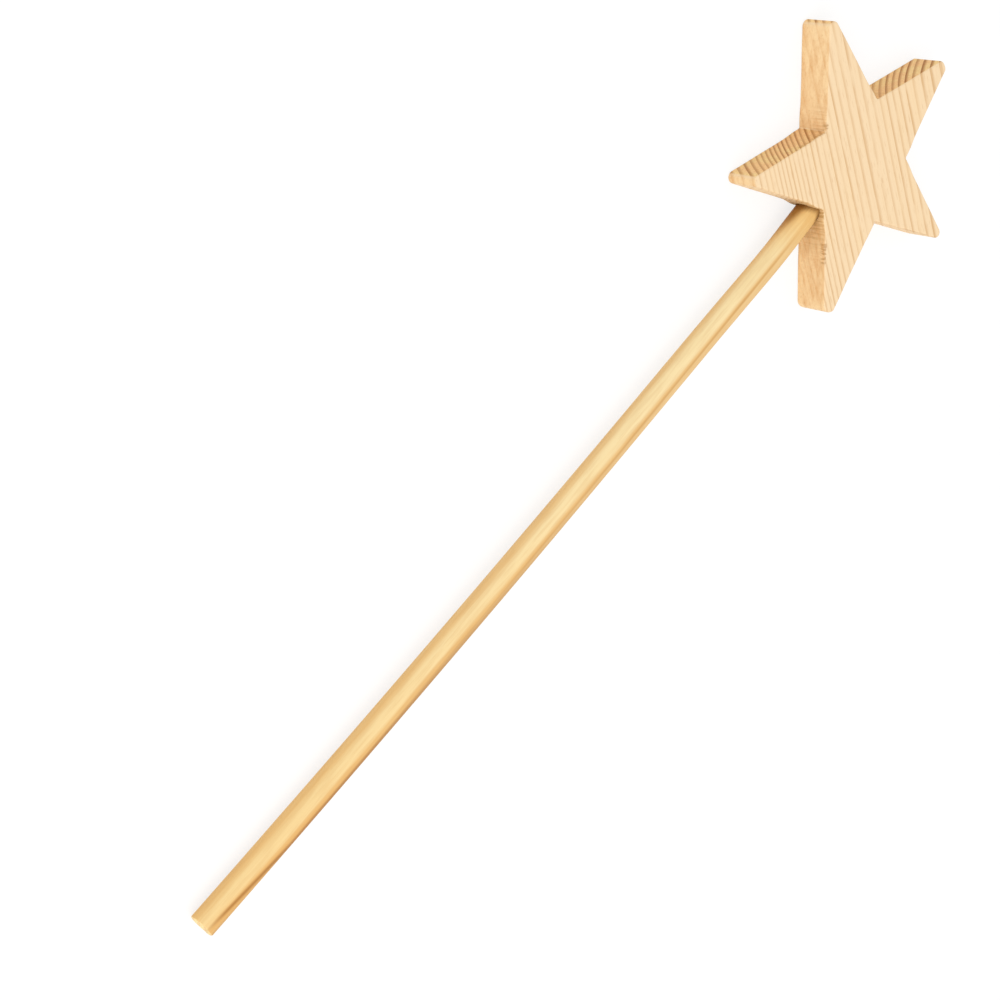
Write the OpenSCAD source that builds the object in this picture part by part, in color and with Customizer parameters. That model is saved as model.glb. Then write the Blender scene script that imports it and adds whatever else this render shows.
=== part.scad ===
// Toy magic wand: a thick wooden star on a round wooden stick.
// The star lies on its back. The origin is the centre of its back face, +Z points out of its front face
// and the stick runs along -Y.

/* [Star] */
// Radius from the star's centre to its points, before they are rounded
point_r = 52; // [44:1:64]
// Radius from the star's centre to the notches between its points, before they are rounded
notch_r = 20.4; // [18:0.2:24]
// Thickness of the board that the star is sawn from
board_t = 12; // [10:0.5:18]
// Rounding of the points, seen from the front
point_round = 2; // [1.2:0.1:3]
// Rounding left by the saw in the notches, seen from the front
notch_round = 0.6; // [0.3:0.1:1.5]
// Radius of the sanded arris around the front and back faces
arris_r = 0.7; // [0.2:0.1:1]

/* [Stick] */
// Diameter of the stick
stick_d = 8; // [5:0.5:9]
// Whole length of the stick, with the end inside the star
stick_len = 310; // [200:5:400]
// Height of the eased edge at both cut ends of the stick
stick_ease = 0.5; // [0.2:0.1:1]

/* [Glued joint] */
// Depth of the drilled hole below the root of the notch
hole_depth = 18; // [10:0.5:24]
// Thickness of the glue between the stick and the wall of the hole
glue_wall = 0.1; // [0.05:0.05:0.3]
// Thickness of the glue between the stick's end and the bottom of the hole
glue_bed = 0.3; // [0.1:0.1:1]

/* [Hidden] */

$fn = 96;

// How far a cut runs past the surface that it opens
overrun = 1;

// Counts: points of the star, and steps along each rounding
points = 5;
point_steps = 12;
notch_steps = 4;
arris_steps = 4;

// The star's points are spaced evenly, and one notch faces -Y, where the stick goes in
pitch = 360 / points;
first_point = -90 + pitch / 2;

// Half the angle of a point, and how far the outline turns on each side of a point and of a notch
point_half = atan2(notch_r * sin(pitch / 2), point_r - notch_r * cos(pitch / 2));
point_turn = 90 - point_half;
notch_turn = point_turn - pitch / 2;

// Radii from the star's centre to the centres of the rounding arcs
point_arc_r = point_r - point_round / sin(point_half);
notch_arc_r = notch_r + notch_round / cos(notch_turn);

// The stick's axis runs through the middle of the board
axis_z = board_t / 2;
hole_d = stick_d + 2 * glue_wall;
hole_bottom_y = hole_depth - notch_r;
stick_top_y = hole_bottom_y - glue_bed;

// Distance from the root of the notch out to where the hole's side wall leaves the wood
hole_mouth = hole_d / 2 * tan(notch_turn);

function polar(r, a) = [r * cos(a), r * sin(a)];

// Arc round the point at angle a. The outline's outward direction turns from one flank's to the other's.
function point_arc(a, inset) = [
  for (i = [0:point_steps])
    polar(point_arc_r, a) + polar(point_round - inset, a + point_turn * (2 * i / point_steps - 1))
];

// Arc in the notch at angle a, which turns the other way
function notch_arc(a, inset) = [
  for (i = [0:notch_steps])
    polar(notch_arc_r, a) - polar(notch_round + inset, a - notch_turn * (2 * i / notch_steps - 1))
];

// The star's whole outline, drawn in by inset on every side
function outline(inset) = [
  for (k = [0:points - 1])
    let (a = first_point + k * pitch)
      each concat(point_arc(a, inset), notch_arc(a + pitch / 2, inset))
];

// Depth below the nearer face and inset from the flank at step i of an arris
function arris(i) =
  let (t = 90 * i / arris_steps)
    [arris_r * (1 - cos(t)), arris_r * (1 - sin(t))];

// Height and inset of each outline, from the back face over both arrises to the front face
function edge_profile() = concat(
  [for (i = [0:arris_steps]) arris(i)],
  [for (i = [arris_steps:-1:0]) [board_t - arris(i)[0], arris(i)[1]]]
);

// The star without its hole: outlines stacked along the edge profile, closed by a fan on each face
module star_blank() {
  levels = edge_profile();
  rings = [for (l = levels) outline(l[1])];
  n = len(rings[0]);
  back = n * len(levels);
  front = back + 1;
  last = n * (len(levels) - 1);
  walls = [
    for (j = [0:len(levels) - 2], i = [0:n - 1])
      let (k = (i + 1) % n) [n * j + k, n * j + i, n * (j + 1) + i, n * (j + 1) + k]
  ];
  back_fan = [for (i = [0:n - 1]) [back, i, (i + 1) % n]];
  front_fan = [for (i = [0:n - 1]) [front, last + (i + 1) % n, last + i]];
  polyhedron(
    points = concat(
      [for (j = [0:len(levels) - 1], p = rings[j]) [p[0], p[1], levels[j][0]]],
      [[0, 0, 0], [0, 0, board_t]]
    ),
    faces = concat(walls, back_fan, front_fan)
  );
}

// Moves what is drawn upwards from the origin to the stick's axis, running towards -Y from y
module along_stick(y) {
  translate([0, y, axis_z])
    rotate([90, 0, 0])
      children();
}

module star_head() {
  color("#fddeb4")
    difference() {
      star_blank();
      along_stick(hole_bottom_y)
        cylinder(d = hole_d, h = hole_depth + hole_mouth + overrun);
    }
}

module stick() {
  r = stick_d / 2;
  color("#f0cf8e")
    along_stick(stick_top_y)
      rotate_extrude()
        polygon([
          [0, 0],
          [r - stick_ease, 0],
          [r, stick_ease],
          [r, stick_len - stick_ease],
          [r - stick_ease, stick_len],
          [0, stick_len]
        ]);
}

// A cup of glue: its floor beds the stick's end and its wall stops at the root of the notch
module glue_joint() {
  color("#e8d6a0")
    along_stick(hole_bottom_y)
      difference() {
        cylinder(d = hole_d, h = hole_depth);
        translate([0, 0, glue_bed])
          cylinder(d = stick_d, h = hole_depth);
      }
}

star_head();
stick();
glue_joint();
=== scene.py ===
import math

import bpy
from mathutils import Matrix, Vector, noise


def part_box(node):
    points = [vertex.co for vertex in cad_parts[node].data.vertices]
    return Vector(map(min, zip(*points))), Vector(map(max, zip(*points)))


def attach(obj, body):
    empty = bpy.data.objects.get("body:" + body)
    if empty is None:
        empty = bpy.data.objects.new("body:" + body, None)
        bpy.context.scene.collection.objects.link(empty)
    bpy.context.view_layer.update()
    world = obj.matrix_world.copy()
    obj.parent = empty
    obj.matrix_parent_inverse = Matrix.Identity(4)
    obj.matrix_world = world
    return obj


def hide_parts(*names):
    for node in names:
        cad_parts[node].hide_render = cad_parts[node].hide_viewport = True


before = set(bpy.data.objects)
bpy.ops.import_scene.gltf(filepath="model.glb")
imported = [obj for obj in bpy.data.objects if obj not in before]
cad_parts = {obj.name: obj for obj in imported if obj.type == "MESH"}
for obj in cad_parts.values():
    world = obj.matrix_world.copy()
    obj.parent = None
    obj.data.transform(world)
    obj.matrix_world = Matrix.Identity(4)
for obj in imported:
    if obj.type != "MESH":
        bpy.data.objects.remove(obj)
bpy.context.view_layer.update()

# Sizes are in millimetres and angles in degrees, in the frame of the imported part.
mm = 0.001
upward = Vector((0, 0, 1))
white = (1, 1, 1, 1)
fineDetail = (3.0, 0.6)  # detail and roughness of fine noise
softDetail = 1.0         # detail of slow noise
starLow, starHigh = (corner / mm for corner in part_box("star_head"))
stickLow, stickHigh = (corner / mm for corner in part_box("stick"))
glueLow, glueHigh = (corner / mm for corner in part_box("glue_joint"))
axisZ = (stickLow.z + stickHigh.z) / 2


def polar(radius, angle):
    return Vector((radius * math.cos(math.radians(angle)), radius * math.sin(math.radians(angle)), 0))


def ease(value, low, high):  # 0 at low, 1 at high, smooth between
    share = min(1, max(0, (value - low) / (high - low)))
    return share * share * (3 - 2 * share)


def meshPiece(name, corners, faces):
    mesh = bpy.data.meshes.new(name)
    mesh.from_pydata([corner * mm for corner in corners], [], faces)
    mesh.update()
    piece = bpy.data.objects.new(name, mesh)
    bpy.context.scene.collection.objects.link(piece)
    return piece


def smoothBelow(piece, angle):  # smooth shading, with sharp edges kept where faces meet steeply
    piece.data.polygons.foreach_set("use_smooth", [True] * len(piece.data.polygons))
    piece.data.set_sharp_from_angle(angle=math.radians(angle))


def bothWays(operation):
    def forward(self, other):
        return self.finish.add("ShaderNodeMath", {"operation": operation}, {0: self, 1: other})

    def reflected(self, other):
        return self.finish.add("ShaderNodeMath", {"operation": operation}, {0: other, 1: self})

    return forward, reflected


class Value:  # one output socket; an expression on it adds Math nodes
    def __init__(self, finish, node, output):
        self.finish = finish
        self.node = node
        self.name = output

    __add__, __radd__ = bothWays("ADD")
    __sub__, __rsub__ = bothWays("SUBTRACT")
    __mul__, __rmul__ = bothWays("MULTIPLY")
    __truediv__, __rtruediv__ = bothWays("DIVIDE")

    def __abs__(self):
        return self.finish.math("ABSOLUTE", self)

    def output(self, name):
        return Value(self.finish, self.node, name)

    def socket(self):
        return self.node.outputs[self.name]


class Finish:
    def __init__(self, tree):
        self.tree = tree
        tree.nodes.clear()

    def add(self, kind, settings={}, sockets={}, output=0):
        node = self.tree.nodes.new(kind)
        for name, value in settings.items():
            setattr(node, name, value)
        for name, value in sockets.items():
            if isinstance(value, Value):
                self.tree.links.new(value.socket(), node.inputs[name])
            else:
                node.inputs[name].default_value = value
        return Value(self, node, output)

    def math(self, operation, *values):
        return self.add("ShaderNodeMath", {"operation": operation}, dict(enumerate(values)))

    def dot(self, vector, direction):
        settings = {"operation": "DOT_PRODUCT"}
        return self.add("ShaderNodeVectorMath", settings, {0: vector, 1: tuple(direction)}, "Value")

    def join(self, x, y, z):
        return self.add("ShaderNodeCombineXYZ", {}, {0: x, 1: y, 2: z})

    def step(self, value, low, high):
        settings = {"interpolation_type": "SMOOTHSTEP"}
        return self.add("ShaderNodeMapRange", settings, {0: value, 1: low, 2: high})

    def level(self, value, low, high):
        return self.add("ShaderNodeMapRange", {}, {0: value, 1: low, 2: high})

    def grain(self, place, detail=2.0, rough=0.5):
        sockets = {"Vector": place, "Scale": 1.0, "Detail": detail, "Roughness": rough}
        return self.add("ShaderNodeTexNoise", {}, sockets)

    def stretched(self, fibres, scale, detail=2.0, rough=0.5):  # noise drawn out along the fibres
        along, across, deep = fibres
        place = self.join(along * scale[0], across * scale[1], deep * scale[1])
        return self.grain(place, detail, rough)

    def mix(self, factor, first, second):
        return self.add("ShaderNodeMix", {"data_type": "RGBA"}, {0: factor, 6: first, 7: second}, 2)


def paint(red, green, blue):  # colour as read on a screen, 0 to 255, made linear
    def linear(level):
        level = level / 255
        return level / 12.92 if level <= 0.04045 else ((level + 0.055) / 1.055) ** 2.4

    return (linear(red), linear(green), linear(blue), 1.0)


def newFinish(name):
    material = bpy.data.materials.new(name)
    material.use_nodes = True
    return material, Finish(material.node_tree)


def dullSurface(finish, colour, roughness, height, relief, specular=0.2):
    bump = finish.add("ShaderNodeBump", {}, {"Strength": 1.0, "Distance": relief * mm, "Height": height})
    sockets = {"Base Color": colour, "Roughness": roughness, "Normal": bump, "Specular IOR Level": specular}
    shader = finish.add("ShaderNodeBsdfPrincipled", {}, sockets)
    finish.add("ShaderNodeOutputMaterial", {}, {"Surface": shader})


# Camera, at the photograph's viewing angle
cameraView = {
    "place": Vector((-421.96, -381.50, 515.42)),
    "target": Vector((-18.83, -165.62, 6.0)),
    "roll": 108.637,
    "lens": 84.74,
    "sensor": 36.0,
    "near": 10.0,
}


def makeCamera(view):
    ahead = (view["target"] - view["place"]).normalized()
    level = ahead.cross(upward).normalized()
    above = level.cross(ahead)
    roll = math.radians(view["roll"])
    right = level * math.cos(roll) + above * math.sin(roll)
    up = above * math.cos(roll) - level * math.sin(roll)
    data = bpy.data.cameras.new("photoCamera")
    data.lens = view["lens"]
    data.sensor_width = view["sensor"]
    data.clip_start = view["near"] * mm
    camera = bpy.data.objects.new("photoCamera", data)
    bpy.context.scene.collection.objects.link(camera)
    turn = Matrix((right, up, -ahead)).transposed().to_4x4()
    camera.matrix_world = Matrix.Translation(view["place"] * mm) @ turn
    bpy.context.scene.camera = camera


makeCamera(cameraView)
print("camera set")

# The star: one closed outline, drawn in along the edge profile and bored for the stick
star = {
    "points": 5,
    "pointR": 52.0,       # centre to the points and to the notches, before rounding
    "notchR": 20.4,
    "pointRound": 2.0,
    "notchRound": 0.6,
    "pointWear": (0.65, 0.05, 0.7, 0.2, 0.05),  # how far each point is worn back
    "notchFill": (0.3, 0.4, 0.2, 0.3, 0.8),  # how much wood the saw left in each notch, and its reach
    "fillReach": (2.0, 8.0),
    "strays": (           # how far the saw strayed outwards at each flank's start and end
        (1.3, 0.4), (-0.5, -0.3), (-0.2, -0.2), (0.4, 0.0), (0.3, 0.2),
        (0.2, 0.2), (0.0, 0.0), (-0.2, 0.0), (0.1, 0.1), (0.0, 0.0),
    ),
    "arris": 0.7,         # sanded edge round both faces
    "arrisVary": 0.22,    # how far the sanding varies, up and down
    "arrisGrain": 0.09,   # changes of the sanding per mm
    "sawWave": 0.07,      # shallow waves that the saw left in the flanks
    "sawPitch": 0.16,
    "flankStep": 0.25,    # mesh spacing along a flank
    "notchMark": 0.11,    # depth, spacing and reach of the marks that the saw left as it turned in a notch
    "markPitch": 1.05,
    "markReach": 5.0,
    "markRise": (0.2, 0.7),  # they deepen between these shares of the flank's height
    "pointSteps": 18,
    "notchSteps": 6,
    "arrisSteps": 6,
    "wallSteps": 10,
    "faceRim": 0.5,       # flat rim between the arris and the face
    "chips": (            # torn places on the front arris: flank, from, to, depth
        (6, 28.5, 31.2, 0.55),
        (6, 32.2, 36.4, 0.85),
        (9, 10.5, 12.9, 0.75),
        (9, 14.1, 15.3, 0.45),
        (9, 16.3, 17.7, 0.5),
    ),
    "chipTooth": 0.95,    # spacing of the torn fibres along the arris, and how they stray
    "chipGrain": 1.7,
    "chipStray": 2.0,
    "chipRagged": (0.25, 0.85),  # least depth of a torn place, and what the fibres add, as shares
    "chipBlunt": 0.6,
    "boreSides": 96,
    "sharpAngle": 40,
}


def starAngles(size):  # half a point's angle, and how far the outline turns each side of a point and a notch
    half = 180 / size["points"]
    notch = polar(size["notchR"], half)
    pointHalf = math.degrees(math.atan2(notch.y, size["pointR"] - notch.x))
    return pointHalf, 90 - pointHalf, 90 - pointHalf - half


def starOutline(size):
    pitch = 360 / size["points"]
    pointRound, notchRound = size["pointRound"], size["notchRound"]
    half, pointTurn, notchTurn = starAngles(size)
    pointArc = size["pointR"] - pointRound / math.sin(math.radians(half))
    notchArc = size["notchR"] + notchRound / math.cos(math.radians(notchTurn))
    outline = []  # place, outward direction, stray, flank number, distances along it and from its notch

    def arc(middle, radius, angle, turn, steps, before, after, wear, fromNotch):
        for i in range(steps + 1):
            facing = polar(1, angle + turn * (2 * i / steps - 1))
            stray = before + (after - before) * i / steps - wear * math.sin(math.pi * i / steps)
            outline.append((middle + facing * radius, facing, stray, None, 0, fromNotch))

    def flank(start, end, facing, number, filled):
        length = (end - start).length
        count = round(length / size["flankStep"])
        first, last = size["strays"][number]
        for i in range(1, count):
            along = length * i / count
            fromNotch = along if number % 2 else length - along
            place = start.lerp(end, i / count) + filled * (1 - ease(fromNotch, *size["fillReach"]))
            outline.append((place, facing, first + (last - first) * i / count, number, along, fromNotch))

    for k in range(size["points"]):
        angle = -90 + pitch / 2 + k * pitch
        notch = angle + pitch / 2
        before = size["strays"][2 * k - 1][1]
        going, coming = size["strays"][2 * k], size["strays"][2 * k + 1]
        outOf = polar(1, angle + pointTurn)
        into = polar(1, notch - notchTurn)
        point, nextPoint = polar(pointArc, angle), polar(pointArc, angle + pitch)
        middle = polar(notchArc, notch)
        filled = polar(size["notchFill"][k], notch)
        arc(point, pointRound, angle, pointTurn, size["pointSteps"], before, going[0],
            size["pointWear"][k], size["pointR"])
        flank(point + outOf * pointRound, middle - outOf * notchRound, outOf, 2 * k, filled)
        arc(middle + filled, -notchRound, notch, -notchTurn, size["notchSteps"], going[1], coming[0], 0, 0)
        flank(middle - into * notchRound, nextPoint + into * pointRound, into, 2 * k + 1, filled)
    return outline


def chipDepth(size, place, number, along):
    least, added = size["chipRagged"]
    depth = 0
    for flank, start, end, deep in size["chips"]:
        if number == flank and start < along < end:
            stray = size["chipStray"] * noise.noise(place * size["chipGrain"])
            ragged = least + added * abs(math.sin(math.pi * along / size["chipTooth"] + stray))
            bowl = math.sin(math.pi * (along - start) / (end - start)) ** size["chipBlunt"]
            depth += deep * ragged * bowl
    return max(0, depth)


def starCorners(size):
    thick = starHigh.z - starLow.z
    corners = []
    for place, facing, stray, number, along, fromNotch in starOutline(size):
        vary = size["arrisVary"] * noise.noise(place * size["arrisGrain"])
        back = size["arris"] + size["arrisVary"] * noise.noise(place * size["arrisGrain"] - upward * thick)
        front = size["arris"] + vary + chipDepth(size, place, number, along)
        wave = size["sawWave"] * (0.5 + 0.5 * noise.noise(place * size["sawPitch"]))
        ripple = 0.5 - 0.5 * math.cos(math.tau * fromNotch / size["markPitch"])
        mark = size["notchMark"] * ripple * (1 - ease(fromNotch, 0, size["markReach"]))
        column = [(0, back + size["faceRim"])]
        for i in range(size["arrisSteps"] + 1):
            turn = math.pi / 2 * i / size["arrisSteps"]
            column.append((back * (1 - math.cos(turn)), wave + (back - wave) * (1 - math.sin(turn))))
        for i in range(1, size["wallSteps"]):
            rise = i / size["wallSteps"]
            column.append((back + (thick - back - front) * rise, wave + mark * ease(rise, *size["markRise"])))
        for i in range(size["arrisSteps"], -1, -1):
            turn = math.pi / 2 * i / size["arrisSteps"]
            cut = wave + mark
            column.append((thick - front * (1 - math.cos(turn)), cut + (front - cut) * (1 - math.sin(turn))))
        column.append((thick, front + size["faceRim"]))
        corners.append([place + facing * (stray - inset) + upward * (starLow.z + z) for z, inset in column])
    return corners


def makeStar(size):
    columns = starCorners(size)
    count, levels = len(columns), len(columns[0])
    corners = [column[level] for level in range(levels) for column in columns]
    faces = []
    for level in range(levels - 1):
        for i in range(count):
            k = (i + 1) % count
            low = level * count
            faces.append((low + i, low + k, low + count + k, low + count + i))
    faces.append(tuple(range(count - 1, -1, -1)))
    faces.append(tuple(range((levels - 1) * count, levels * count)))
    blank = meshPiece("starBlank", corners, faces)
    bore = boreTool(size)
    cut = blank.modifiers.new("bore", "BOOLEAN")
    cut.operation = "DIFFERENCE"
    cut.solver = "EXACT"
    cut.object = bore
    shape = blank.evaluated_get(bpy.context.evaluated_depsgraph_get())
    mesh = bpy.data.meshes.new_from_object(shape)
    piece = bpy.data.objects.new("starBoard", mesh)
    bpy.context.scene.collection.objects.link(piece)
    for helper in (blank, bore):
        bpy.data.objects.remove(helper)
    smoothBelow(piece, size["sharpAngle"])
    return piece


def boreTool(size):
    radius = (glueHigh.x - glueLow.x) / 2
    outside = glueLow.y - size["notchR"]
    sides = size["boreSides"]
    corners = []
    for y in (outside, glueHigh.y):
        for i in range(sides):
            rim = polar(radius, 360 * i / sides)
            corners.append(Vector((rim.x, y, axisZ + rim.y)))
    faces = [(sides + i, sides + (i + 1) % sides, (i + 1) % sides, i) for i in range(sides)]
    faces.append(tuple(range(sides)))
    faces.append(tuple(range(2 * sides - 1, sides - 1, -1)))
    return meshPiece("starBore", corners, faces)


starBoard = makeStar(star)
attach(starBoard, "root")
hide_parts("star_head")
print("star board made:", len(starBoard.data.polygons), "faces")

# Bare softwood of the star: growth rings round a far pith, cut by the board's faces
starWood = {
    "fibreAngle": 162.0,        # the fibres run along one point of the star
    "pithAcross": 105.0,        # the pith's place across the fibres and above the back face
    "pithAbove": 106.0,
    "ringWidth": 2.31,          # even width of the rings
    "denseRings": 3.9,          # extra rings in a run of poor years, at these distances from the pith
    "denseAt": (153.7, 174.2),
    "swing": 0.22,              # slow swing of the ring widths
    "swingLength": 22.4,
    "swingFrom": 150.0,
    "ringShift": -80.2,
    "wander": 0.3,              # how far the rings stray
    "ringDark": (0.5, 0.9),     # where a ring darkens, as shares of it, on a face and in the end grain
    "endDark": (0.35, 0.85),
    "ringEdge": (1.0, 0.94),    # where it ends
    "ringYear": (0.5, 0.5),     # its least darkness and what the year adds, on a face and in the end grain
    "endYear": (0.55, 0.4),
    "endFacing": (0.8, 0.97),   # how squarely a flank faces along or across the fibres
    "longFacing": (0.6, 0.95),
    "flankFacing": (0.85, 0.35),
    "strayGrain": (0.012, 0.05),  # each grain's changes per mm, along and across the fibres
    "breakGrain": (0.09, 0.4),
    "fibreGrain": (0.05, 1.5),
    "bandGrain": (0.03, 0.42),
    "slowGrain": (0.015, 0.16),
    "fleckGrain": (0.3, 3.2),
    "fuzzGrain": (0.7, 1.3),
    "breakRange": (0.15, 0.55),  # each grain's noise from none to full
    "fibreRange": (0.5, 0.85),
    "speckRange": (0.48, 0.7),
    "bandRange": (0.38, 0.66),
    "slowRange": (0.45, 0.8),
    "warmRange": (0.4, 0.62),
    "fleckRange": (0.7, 0.8),
    "fuzzRange": (0.4, 0.7),
    "sawRange": (0.45, 0.6),
    "smudgeAndShadeRange": (0.4, 0.6),
    "sawGrain": (1.25, 0.1),    # changes per mm round the outline and up the flank
    "sawReach": (28.0, 21.0),   # the saw's marks, by distance from the star's centre and by height
    "sawHeight": (3.0, 9.0),
    "faceEarly": paint(249, 220, 179),
    "faceLate": paint(222, 180, 129),
    "flankEarly": paint(251, 217, 166),
    "flankLate": paint(226, 172, 112),
    "endEarly": paint(255, 218, 152),
    "endLate": paint(166, 102, 36),
    "endWarm": paint(255, 200, 142),  # redder patches in the end grain
    "fleck": paint(206, 158, 104),
    # torn wood's own colour, darkened with painted shade of the broken fibres
    "tornAndShade": paint(178, 128, 70),
    "tornFacing": 234.0,        # the torn places lie on the arrises that face this way
    "tornAt": ((-14.8, -6.9), (22.8, 30.5)),  # from and to, along those arrises
    "tornHeight": (9.4, 11.2),
    "tornSquare": (0.1, 0.45),  # how squarely a torn arris faces that way
    "tornGrain": (1.5, 0.3),
    "tornRange": (0.42, 0.58),
    "tornFade": 1.0,
    # smudges, darkened with painted contact shade, beside the stick
    "stainAndShade": paint(196, 154, 92),
    "stainAndShadeReach": (14.0, 4.0),  # how far the smudges and painted contact shade spread from the stick's axis
    "stainAndShadeDepth": 1.0,          # and how far round the notch's root they begin
    "amount": {                 # how strongly each mark colours the wood
        "flankLine": 0.35, "flankBand": 0.4, "flankFuzz": 0.22,
        "endWarm": 0.6, "endFuzz": 0.25, "endSpeck": 0.2,
        "fibre": 0.25, "slow": 0.3, "fleck": 0.3, "saw": 0.42, "tornAndShade": 0.6, "smudgeAndShade": 0.8,
    },
    "sideLeast": 0.35,          # a flank's own colour, and a smudge with painted shade, where they are weakest
    "roughness": 0.62,
    "fibreRough": 0.2,
    "lineSmooth": 0.08,
    "relief": 0.10,
    "lineRelief": 0.5,
    "fibreRelief": 0.5,
    "fuzzRelief": 0.6,
}


def ringsOfStar(finish, wood, fibres):  # share of the year's ring at each place, and a number for the year
    _, across, height = fibres
    stray = finish.stretched(fibres, wood["strayGrain"], softDetail) - 0.5
    aside = across - wood["pithAcross"] + stray * (2 * wood["wander"])
    above = height - wood["pithAbove"]
    distance = finish.math("SQRT", aside * aside + above * above)
    swing = finish.math("SINE", (distance - wood["swingFrom"]) * (math.tau / wood["swingLength"]))
    dense = finish.step(distance, *wood["denseAt"])
    count = distance / wood["ringWidth"] + dense * wood["denseRings"]
    count = count + swing * wood["swing"] + wood["ringShift"]
    year = finish.add("ShaderNodeTexWhiteNoise", {"noise_dimensions": "1D"},
                      {"W": finish.math("FLOOR", count)}, "Value")
    return finish.math("FRACT", count), year


def tornAndShadedEdge(finish, wood, local, facing, height):  # short dark fibres where the saw tore the front arris, darkened further with painted shade in the broken surface
    outWay = polar(1, wood["tornFacing"])
    along = finish.dot(local, polar(1, wood["tornFacing"] + 90)) / mm
    square = finish.step(finish.dot(facing, outWay), *wood["tornSquare"])
    near = finish.step(height, *wood["tornHeight"]) * square
    wide, tall = wood["tornGrain"]
    ragged = finish.grain(finish.join(along * wide, height * tall, 0.0), softDetail)
    teeth = finish.step(ragged, *wood["tornRange"])
    fade = wood["tornFade"]
    spans = 0.0
    for start, end in wood["tornAt"]:
        spans = finish.step(along, start, start + fade) * finish.step(along, end, end - fade) + spans
    return near * teeth * spans


def starWoodFinish(wood):
    material, finish = newFinish("starWood")
    fibreWay = polar(1, wood["fibreAngle"])
    acrossWay = polar(1, wood["fibreAngle"] - 90)
    local = finish.add("ShaderNodeTexCoord", {}, {}, "Object")
    facing = local.output("Normal")
    sideways = finish.dot(local, (1, 0, 0)) / mm
    forward = finish.dot(local, (0, 1, 0)) / mm
    height = finish.dot(local, upward) / mm
    fibres = (finish.dot(local, fibreWay) / mm, finish.dot(local, acrossWay) / mm, height)
    endGrain = finish.step(abs(finish.dot(facing, fibreWay)), *wood["endFacing"])
    longCut = finish.step(abs(finish.dot(facing, acrossWay)), *wood["longFacing"])
    flank = finish.step(abs(finish.dot(facing, upward)), *wood["flankFacing"])

    # the year's rings, as broken lines on the faces and as whole stripes in the end grain
    share, year = ringsOfStar(finish, wood, fibres)
    broken = finish.step(finish.stretched(fibres, wood["breakGrain"]), *wood["breakRange"])
    ringEnd = finish.step(share, *wood["ringEdge"])
    ringLeast, ringAdded = wood["ringYear"]
    line = finish.step(share, *wood["ringDark"]) * ringEnd * (ringLeast + ringAdded * year) * broken
    endLeast, endAdded = wood["endYear"]
    stripe = finish.step(share, *wood["endDark"]) * ringEnd * (endLeast + endAdded * year)

    # fibres, soft bands, short dark flecks, and the fuzz and marks of the saw in the flanks
    fibre = finish.stretched(fibres, wood["fibreGrain"], *fineDetail)
    band = finish.step(finish.stretched(fibres, wood["bandGrain"]), *wood["bandRange"])
    slow = finish.stretched(fibres, wood["slowGrain"])
    fleck = finish.step(finish.stretched(fibres, wood["fleckGrain"], 0.0), *wood["fleckRange"])
    fuzz = finish.stretched(fibres, wood["fuzzGrain"], *fineDetail)
    fuzzy = finish.step(fuzz, *wood["fuzzRange"])
    sawWide, sawTall = wood["sawGrain"]
    saw = finish.grain(finish.join(sideways * sawWide, forward * sawWide, height * sawTall), softDetail)
    outward = finish.math("SQRT", sideways * sideways + forward * forward)
    sawn = finish.step(outward, *wood["sawReach"]) * finish.step(height, *wood["sawHeight"]) * flank
    sawn = sawn * finish.step(saw, *wood["sawRange"])

    # a face, a flank along the fibres and a flank across them
    amount = wood["amount"]
    least = wood["sideLeast"]
    face = finish.mix(line, wood["faceEarly"], wood["faceLate"])
    soft = line * amount["flankLine"] + band * amount["flankBand"] + fuzzy * amount["flankFuzz"]
    side = finish.mix(soft, wood["flankEarly"], wood["flankLate"])
    warm = finish.step(slow, *wood["warmRange"]) * amount["endWarm"]
    early = finish.mix(warm, wood["endEarly"], wood["endWarm"])
    end = finish.mix(stripe, early, wood["endLate"])
    end = finish.mix(fuzzy * amount["endFuzz"], end, wood["flankLate"])
    end = finish.mix(finish.step(fibre, *wood["speckRange"]) * amount["endSpeck"], end, wood["endLate"])
    colour = finish.mix(flank * (least + (1 - least) * longCut), face, side)
    colour = finish.mix(finish.step(fibre, *wood["fibreRange"]) * amount["fibre"], colour, wood["flankLate"])
    colour = finish.mix(finish.step(slow, *wood["slowRange"]) * amount["slow"], colour, wood["flankEarly"])
    colour = finish.mix(fleck * amount["fleck"], colour, wood["fleck"])
    colour = finish.mix(endGrain, colour, end)
    colour = finish.mix(sawn * amount["saw"], colour, wood["fleck"])
    # torn fibres with painted shade on the front arris
    tornAndShade = tornAndShadedEdge(finish, wood, local, facing, height)
    colour = finish.mix(tornAndShade * amount["tornAndShade"], colour, wood["tornAndShade"])

    # smudges and painted contact shade in the notch, round the stick's hole
    offAxis = height - axisZ
    reach = finish.math("SQRT", sideways * sideways + offAxis * offAxis)
    begin = wood["stainAndShadeDepth"]
    inNotch = finish.step(forward, glueLow.y + begin, glueLow.y - begin) * flank
    patchy = least + (1 - least) * finish.step(saw, *wood["smudgeAndShadeRange"])
    smudgeAndShade = finish.step(reach, *wood["stainAndShadeReach"]) * inNotch * patchy
    colour = finish.mix(smudgeAndShade * amount["smudgeAndShade"], colour, wood["stainAndShade"])

    roughness = wood["roughness"] + (fibre - 0.5) * wood["fibreRough"] - line * wood["lineSmooth"]
    relief = line * wood["lineRelief"] + fibre * wood["fibreRelief"]
    relief = relief + flank * (saw + fuzz * wood["fuzzRelief"])
    dullSurface(finish, colour, roughness, relief, wood["relief"])
    return material


starBoard.data.materials.clear()
starBoard.data.materials.append(starWoodFinish(starWood))
print("star wood done")

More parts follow.
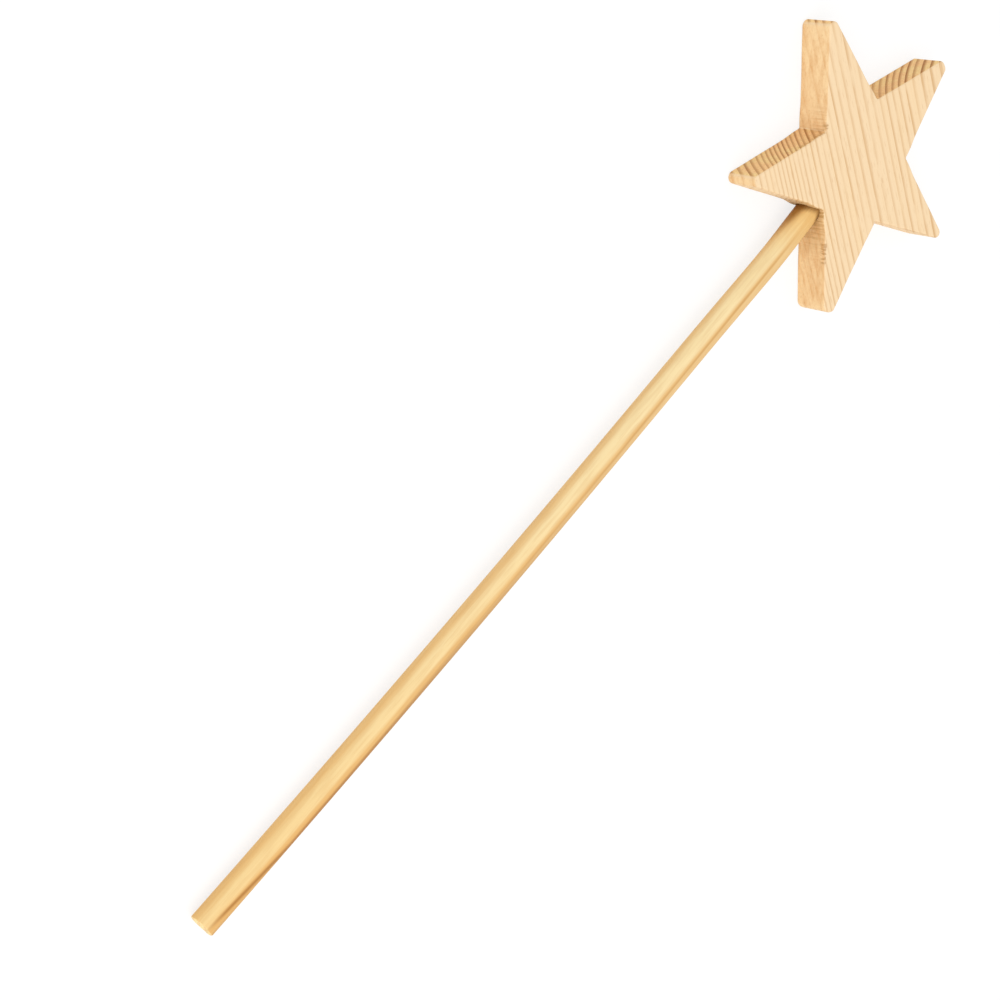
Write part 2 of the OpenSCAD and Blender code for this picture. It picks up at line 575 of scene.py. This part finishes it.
# The stick: a turned dowel with sawn, eased ends
stick = {
    "sides": 72,
    "ringStep": 1.5,      # mesh spacing along the stick
    "ease": 0.5,          # rounding of the cut ends
    "easeSteps": 5,
    "endRings": 9,
    "planing": 0.04,      # shallow flats along the stick, always inwards
    "planingPitch": 0.02,
    "planingRound": 1.6,
    "splinter": 0.15,     # the strip beyond the dark streak stands out at the free end
    "splinterAt": 2.1,
    "splinterEdge": 0.35,
    "sawn": 0.08,         # unevenness of the free end's cut, and its changes per mm
    "sawnGrain": 0.9,
    "endInset": 0.1,      # keeps the leaning end within the stick's length
    "seenAcross": Vector((0.77, 0, 0.638)),  # the way across the stick's shown side
    "bow": 1.33,          # how far the stick bows out at half length, and strays at its free end
    "stray": -1.35,
    "enterShift": 0.45,   # it also leans as it leaves the star: the most that this shifts it, and where
    "enterPlace": 1 / 12,
    "enterPower": 3,
    "slopeStep": 0.001,
    "sharpAngle": 50,
}


def stickBow(size, share):  # sideways shift of the stick's middle, 0 at the star and 1 at the free end
    return share * (4 * size["bow"]) * (1 - share) + share * size["stray"]


def makeStick(size):
    radius = (stickHigh.x - stickLow.x) / 2
    top, free, mouth = stickHigh.y, stickLow.y, glueLow.y
    sides = size["sides"]

    def rim(level, angle, y):
        spot = polar(size["planingRound"], angle)
        flat = noise.noise(Vector((spot.x, spot.y, y * size["planingPitch"])))
        share = level / radius
        reach = level - size["planing"] * (0.5 + 0.5 * flat) * share
        edge = polar(reach, angle)
        return Vector((edge.x, y, axisZ + edge.y))

    def freeEnd(corner):  # the cut is a little uneven, and the splinter stands out
        across = (corner - upward * axisZ).dot(size["seenAcross"])
        edge = size["splinterAt"]
        back = size["splinter"] * (1 - ease(across, edge - size["splinterEdge"], edge + size["splinterEdge"]))
        uneven = noise.noise(Vector((corner.x, corner.z, 0)) * size["sawnGrain"])
        return size["endInset"] + back + size["sawn"] * (0.5 + 0.5 * uneven)

    def sideways(share):  # the bow, and the lean that is greatest a little outside the star
        place, power = size["enterPlace"], size["enterPower"]
        rise = (share / place) ** power
        fall = (max(0, 1 - share) / (1 - place)) ** (power * (1 - place) / place)
        return stickBow(size, share) + size["enterShift"] * rise * fall

    def bowed(corner):  # moves a corner with the stick's bow, and turns its cross-section square to it
        share = min(1, max(0, (mouth - corner.y) / (mouth - free)))
        step = size["slopeStep"]
        slope = (sideways(share + step) - sideways(share - step)) / (2 * step)
        lean = slope / (free - mouth) if share > 0 else 0
        across = (corner - upward * axisZ).dot(size["seenAcross"])
        return corner + size["seenAcross"] * sideways(share) - Vector((0, across * lean, 0))

    rings = []  # radius, place along the stick, whether it belongs to the free end
    for i in range(1, size["endRings"] + 1):
        rings.append(((radius - size["ease"]) * i / size["endRings"], top, False))
    for i in range(1, size["easeSteps"] + 1):
        turn = math.pi / 2 * i / size["easeSteps"]
        level = radius - size["ease"] * (1 - math.sin(turn))
        rings.append((level, top - size["ease"] * (1 - math.cos(turn)), False))
    length = top - free - 2 * size["ease"]
    count = round(length / size["ringStep"])
    for i in range(1, count):
        rings.append((radius, top - size["ease"] - length * i / count, False))
    for level, y, _ in reversed(rings[:size["endRings"] + size["easeSteps"]]):
        rings.append((level, free + (top - y), True))

    corners = [Vector((0, top, axisZ))]
    for level, y, atEnd in rings:
        for k in range(sides):
            corner = rim(level, 360 * k / sides, y)
            if atEnd:
                corner.y += freeEnd(corner)
            corners.append(bowed(corner))
    tail = Vector((0, free, axisZ))
    tail.y += freeEnd(tail)
    corners.append(bowed(tail))

    faces = [(0, 1 + (k + 1) % sides, 1 + k) for k in range(sides)]
    for ring in range(len(rings) - 1):
        for k in range(sides):
            low = 1 + ring * sides
            n = (k + 1) % sides
            faces.append((low + k, low + n, low + sides + n, low + sides + k))
    last = 1 + (len(rings) - 1) * sides
    faces += [(last + k, last + (k + 1) % sides, len(corners) - 1) for k in range(sides)]
    piece = meshPiece("stickDowel", corners, faces)
    smoothBelow(piece, size["sharpAngle"])
    return piece


stickDowel = makeStick(stick)
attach(stickDowel, "root")
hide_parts("stick")
print("stick made:", len(stickDowel.data.polygons), "faces")

# Bare wood of the stick: late wood along both edges of the shown side, and a dark streak at the free end
stickWood = {
    "leftDark": (-1.2, -3.4),   # where the wood darkens, by distance across the stick
    "leftSpread": 0.8,          # the left-hand dark wood widens along the stick
    "leftSpreadAlong": (-105.0, -170.0),
    "rightDark": (0.8, 2.1),
    "rightEdge": (2.4, 2.7),    # where the right-hand ring ends, and how much paler the next one is
    "ringDrop": 0.25,
    "figureFrom": -50.0,        # the right-hand ring drifts across along the stick
    "figureDrift": 0.003,
    "rightAlong": (-24.0, -50.0),  # it is faint at the star, by this share of its depth
    "rightLeast": 0.6,
    "leftDepth": 0.56,          # how dark each side's late wood grows
    "rightDepth": 0.68,
    "line": paint(190, 134, 66),  # a fine dark line beside it, which drifts faster
    "lineAt": 2.3,
    "lineDrift": 0.0055,
    "lineWide": 0.6,
    "wander": 0.3,
    "strayGrain": (0.012, 0.06),  # each grain's changes per mm, along and across the fibres
    "fibreGrain": (0.03, 1.8),
    "fleckGrain": (0.09, 1.2),
    "slowGrain": (0.02, 0.3),
    "fibreRange": (0.5, 0.85),  # each grain's noise from none to full
    "fleckRange": (0.38, 0.68),
    "slowRange": (0.45, 0.8),
    "pale": paint(249, 225, 172),
    "late": paint(226, 170, 94),
    "glow": paint(240, 205, 140),
    "glowAlong": (-90.0, -312.7),  # the wood deepens towards the free end, and at the star
    "warm": paint(245, 201, 126),
    "warmAlong": (-46.0, -23.0),
    "fleck": paint(204, 148, 78),  # short dark fibres
    "streak": paint(160, 98, 34),
    "streakAt": 2.1,            # the streak's place at the free end, and how it leans
    "streakLean": 0.05,
    "streakEdge": 3.75,         # it then follows the stick's edge
    "streakWide": 0.8,
    "streakStray": 0.4,
    "streakFade": (-4.0, 9.0),  # it fades a little at the cut
    "haloWide": (2.0, 0.3),     # deeper wood beside the streak
    "streakAlong": (-90.0, -260.0),
    "haloAlong": (-225.0, -285.0),
    "starShadow": paint(146, 94, 30),  # painted shadow that the star's point casts on the stick, under the star
    "starShadowAcross": (0.2, -2.4),
    "starShadowLean": 0.15,
    "starShadowFrom": -25.0,
    "starShadowAlong": (-48.0, -23.0),
    "stainAndShade": paint(122, 78, 28),
    "stainAndShadeWide": (2.4, 0.1),    # dark glue stain, with painted shade of the gap, where the stick enters the star
    "stainAndShadeStray": 0.8,
    "endEarly": paint(250, 224, 160),
    "endLate": paint(240, 203, 144),
    "endFacing": (0.5, 0.9),
    "endPith": -9.0,            # the rings in the cut ends, round a pith beside the stick
    "endRing": 2.2,
    "endDark": (0.3, 0.9),
    "endEdge": (1.0, 0.93),
    "amount": {                 # how strongly each mark colours the wood
        "glow": 0.75, "warm": 0.85, "fibre": 0.25, "slow": 0.25, "fleck": 0.16, "line": 0.4,
        "halo": 0.45, "streak": 0.72, "starShadow": 0.85, "stainAndShade": 0.75,
    },
    "roughness": 0.55,
    "fibreRough": 0.2,
    "relief": 0.06,
    "lateRelief": 0.4,
}


def stickWoodFinish(wood):
    material, finish = newFinish("stickWood")
    local = finish.add("ShaderNodeTexCoord", {}, {}, "Object")
    facing = local.output("Normal")
    acrossWay = stick["seenAcross"]
    deepWay = acrossWay.cross(Vector((0, 1, 0)))
    along = finish.dot(local, (0, 1, 0)) / mm
    across = finish.dot(local, acrossWay) / mm - acrossWay.z * axisZ
    across = across - stickBow(stick, finish.level(along, glueLow.y, stickLow.y))
    deep = finish.dot(local, deepWay) / mm - deepWay.z * axisZ
    fibres = (along, across, deep)
    stray = (finish.stretched(fibres, wood["strayGrain"], softDetail) - 0.5) * (2 * wood["wander"])
    fibre = finish.stretched(fibres, wood["fibreGrain"], *fineDetail)
    fleck = finish.step(finish.stretched(fibres, wood["fleckGrain"]), *wood["fleckRange"])
    slow = finish.stretched(fibres, wood["slowGrain"])

    # late wood, which darkens gradually to both sides and ends in a fine edge on the right
    spread = finish.step(along, *wood["leftSpreadAlong"]) * wood["leftSpread"]
    left = finish.step(across + stray - spread, *wood["leftDark"])
    outAlong = wood["figureFrom"] - along
    clearOfStar = finish.step(along, *wood["rightAlong"])
    place = across + stray - outAlong * wood["figureDrift"]
    paler = wood["ringDrop"] * finish.step(place, *wood["rightEdge"])
    right = finish.step(place, *wood["rightDark"]) * (1 - paler)
    right = right * (wood["rightLeast"] + (1 - wood["rightLeast"]) * clearOfStar)
    late = finish.math("MAXIMUM", left * wood["leftDepth"], right * wood["rightDepth"])
    lineAside = abs(across + stray - wood["lineAt"] - outAlong * wood["lineDrift"])
    line = finish.step(lineAside, wood["lineWide"], 0.0) * clearOfStar

    # the streak, which leans from the free end to the stick's edge
    leaningLine = wood["streakAt"] + (along - stickLow.y) * wood["streakLean"]
    streakLine = finish.math("MINIMUM", leaningLine, wood["streakEdge"])
    streakAside = abs(across - streakLine + stray * wood["streakStray"])
    towardsEnd = finish.step(along, *(stickLow.y + reach for reach in wood["streakFade"]))
    streakLong = finish.step(along, *wood["streakAlong"]) * towardsEnd
    haloLong = finish.step(along, *wood["haloAlong"]) * towardsEnd
    streak = finish.step(streakAside, wood["streakWide"], 0.0) * streakLong
    halo = finish.step(streakAside, *wood["haloWide"]) * haloLong

    # glue stain with painted shade of the gap, and painted shadow from the star, near the star; the first by
    # distance from the flanks of the notch that the stick enters
    turn = math.radians(starAngles(star)[2])
    notchRoot = star["notchR"] + star["notchFill"][-1]
    sideways = abs(finish.dot(local, (1, 0, 0)) / mm)
    clear = sideways * -math.sin(turn) - (along + notchRoot) * math.cos(turn)
    stainAndShade = finish.step(clear + (fibre - 0.5) * wood["stainAndShadeStray"], *wood["stainAndShadeWide"])
    # painted shadow that the star's point casts on the stick's left side
    leaning = across + (wood["starShadowFrom"] - along) * wood["starShadowLean"]
    starShadow = finish.step(leaning, *wood["starShadowAcross"]) * finish.step(along, *wood["starShadowAlong"])

    # cut ends
    endGrain = finish.step(abs(finish.dot(facing, (0, 1, 0))), *wood["endFacing"])
    aside = across - wood["endPith"]
    ring = finish.math("FRACT", finish.math("SQRT", aside * aside + deep * deep) / wood["endRing"])
    ringTone = finish.step(ring, *wood["endDark"]) * finish.step(ring, *wood["endEdge"])
    end = finish.mix(ringTone, wood["endEarly"], wood["endLate"])

    amount = wood["amount"]
    colour = finish.mix(finish.step(along, *wood["glowAlong"]) * amount["glow"], wood["pale"], wood["glow"])
    colour = finish.mix(finish.step(along, *wood["warmAlong"]) * amount["warm"], colour, wood["warm"])
    colour = finish.mix(late, colour, wood["late"])
    colour = finish.mix(finish.step(fibre, *wood["fibreRange"]) * amount["fibre"], colour, wood["late"])
    colour = finish.mix(finish.step(slow, *wood["slowRange"]) * amount["slow"], colour, wood["glow"])
    colour = finish.mix(fleck * amount["fleck"], colour, wood["fleck"])
    colour = finish.mix(line * amount["line"], colour, wood["line"])
    colour = finish.mix(endGrain, colour, end)
    colour = finish.mix(halo * amount["halo"], colour, wood["late"])
    colour = finish.mix(streak * amount["streak"], colour, wood["streak"])
    # painted shadow from the star
    colour = finish.mix(starShadow * amount["starShadow"], colour, wood["starShadow"])
    # glue stain with painted shade of the gap at the joint
    colour = finish.mix(stainAndShade * amount["stainAndShade"], colour, wood["stainAndShade"])
    roughness = wood["roughness"] + (fibre - 0.5) * wood["fibreRough"]
    dullSurface(finish, colour, roughness, fibre + late * wood["lateRelief"], wood["relief"])
    return material


stickDowel.data.materials.append(stickWoodFinish(stickWood))
print("stick wood done")

# Set wood glue, hidden in the joint
glue = {
    "clear": paint(236, 218, 168),
    "cloudy": paint(214, 190, 132),
    "cloudGrain": 0.8,    # changes per mm
    "cloudRange": (0.35, 0.7),
    "roughness": 0.35,
    "cloudRough": 0.2,
    "relief": 0.03,
}


def glueFinish(look):
    material, finish = newFinish("setGlue")
    local = finish.add("ShaderNodeTexCoord", {}, {}, "Object")
    sockets = {0: local, "Scale": look["cloudGrain"] / mm}
    spot = finish.add("ShaderNodeVectorMath", {"operation": "SCALE"}, sockets)
    cloud = finish.grain(spot, fineDetail[0])
    colour = finish.mix(finish.step(cloud, *look["cloudRange"]), look["clear"], look["cloudy"])
    roughness = look["roughness"] + cloud * look["cloudRough"]
    dullSurface(finish, colour, roughness, cloud, look["relief"])
    return material


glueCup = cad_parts["glue_joint"]
glueCup.data.materials.clear()
glueCup.data.materials.append(glueFinish(glue))
print("glue done")

# Studio: pale floor, even white surroundings and one soft lamp
studio = {
    "floorHalf": 3000.0,
    "floorGap": 0.05,
    "floorColour": (0.9, 0.9, 0.9, 1.0),
    "shownColour": (0.25, 0.25, 0.25, 1.0),  # the shown floor takes this share of the light, and glows
    "shownGlow": 0.775,
    "dome": 0.85,
    "key": {"place": (-110.0, -780.0, 860.0), "side": 700.0, "watts": 3.5},
    "aim": (0.0, -100.0, 0.0),
}


def shownDirectly(finish):  # 1 where the camera, or a reflection, sees the surface itself
    path = finish.add("ShaderNodeLightPath", {}, {}, "Is Camera Ray")
    seen = finish.math("MAXIMUM", path, path.output("Is Glossy Ray"))
    return finish.math("MAXIMUM", seen, path.output("Is Transmission Ray"))


def makeFloor(look):
    reach = look["floorHalf"]
    z = starLow.z - look["floorGap"]
    ends = ((-reach, -reach), (reach, -reach), (reach, reach), (-reach, reach))
    corners = [Vector((x, y, z)) for x, y in ends]
    floor = meshPiece("studioFloor", corners, [(0, 1, 2, 3)])
    material, finish = newFinish("studioFloor")
    plain = finish.add("ShaderNodeBsdfDiffuse", {}, {"Color": look["floorColour"]})
    lit = finish.add("ShaderNodeBsdfDiffuse", {}, {"Color": look["shownColour"]})
    glow = finish.add("ShaderNodeEmission", {}, {"Strength": look["shownGlow"]})
    shown = finish.add("ShaderNodeAddShader", {}, {0: lit, 1: glow})
    both = finish.add("ShaderNodeMixShader", {}, {0: shownDirectly(finish), 1: plain, 2: shown})
    finish.add("ShaderNodeOutputMaterial", {}, {"Surface": both})
    floor.data.materials.append(material)


def makeWorld(look):
    world = bpy.data.worlds.new("studioWorld")
    bpy.context.scene.world = world
    world.use_nodes = True
    finish = Finish(world.node_tree)
    light = finish.add("ShaderNodeBackground", {}, {"Color": white, "Strength": look["dome"]})
    shown = finish.add("ShaderNodeBackground", {}, {"Color": white, "Strength": 1.0})
    both = finish.add("ShaderNodeMixShader", {}, {0: shownDirectly(finish), 1: light, 2: shown})
    finish.add("ShaderNodeOutputWorld", {}, {"Surface": both})


def makeLamp(name, look):
    data = bpy.data.lights.new(name, "AREA")
    data.size = look[name]["side"] * mm
    data.energy = look[name]["watts"]
    lamp = bpy.data.objects.new(name + "Lamp", data)
    bpy.context.scene.collection.objects.link(lamp)
    place = Vector(look[name]["place"])
    lamp.location = place * mm
    lamp.rotation_euler = (Vector(look["aim"]) - place).to_track_quat("-Z", "Y").to_euler()
    lamp.visible_camera = False


makeFloor(studio)
makeWorld(studio)
makeLamp("key", studio)
bpy.context.scene.view_settings.view_transform = "Standard"
print("studio lit")
